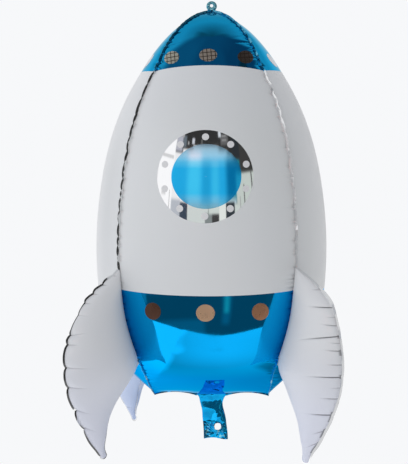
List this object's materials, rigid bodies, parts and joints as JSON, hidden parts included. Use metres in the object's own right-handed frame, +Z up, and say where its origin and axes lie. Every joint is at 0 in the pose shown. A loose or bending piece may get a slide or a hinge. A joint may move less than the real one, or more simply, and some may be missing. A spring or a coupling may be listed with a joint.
{
  "type": "rocket-shaped foil balloon",
  "caption": "Inflated foil balloon shaped like a toy rocket, with a rounded nose, portholes, pillow fins, a filling neck below and a hanging tab on top.",
  "frame": {"origin": "centre of the hanging tab's hole", "axes": "+Z up along the balloon's long axis, the printed front faces -Y, +X is the front's right as a viewer sees it"},
  "size_m": [0.5314, 0.5314, 0.9477],
  "materials": {
    "blue_film": "metallised blue foil film, mirror gloss",
    "white_film": "white printed foil film, satin",
    "silver_film": "bare metallised film, mirror",
    "pane_film": "sky blue printed foil film, satin",
    "seam_film": "heat-sealed foil film, silver, creased"
  },
  "bodies": {
    "root": {"nose_panel_front": "blue_film", "nose_panel_right": "blue_film", "nose_panel_back": "blue_film", "nose_panel_left": "blue_film", "body_panel_front": "white_film", "body_panel_right": "white_film", "body_panel_back": "white_film", "body_panel_left": "white_film", "tail_panel_front": "blue_film", "tail_panel_right": "blue_film", "tail_panel_back": "blue_film", "tail_panel_left": "blue_film", "porthole_ring_front": "silver_film", "porthole_ring_back": "silver_film", "porthole_pane_front": "pane_film", "porthole_pane_back": "pane_film", "seam_margin_front_left": "seam_film", "seam_margin_front_right": "seam_film", "seam_margin_back_left": "seam_film", "seam_margin_back_right": "seam_film", "fin_front_left_film_front": "white_film", "fin_front_left_film_left": "white_film", "fin_front_left_rim": "seam_film", "fin_front_right_film_front": "white_film", "fin_front_right_film_right": "white_film", "fin_front_right_rim": "seam_film", "fin_back_left_film_back": "white_film", "fin_back_left_film_left": "white_film", "fin_back_left_rim": "seam_film", "fin_back_right_film_back": "white_film", "fin_back_right_film_right": "white_film", "fin_back_right_rim": "seam_film", "base_seal_left": "blue_film", "base_seal_right": "blue_film", "filling_neck": "blue_film", "hanging_tab": "blue_film"}
  },
  "joints": []
}
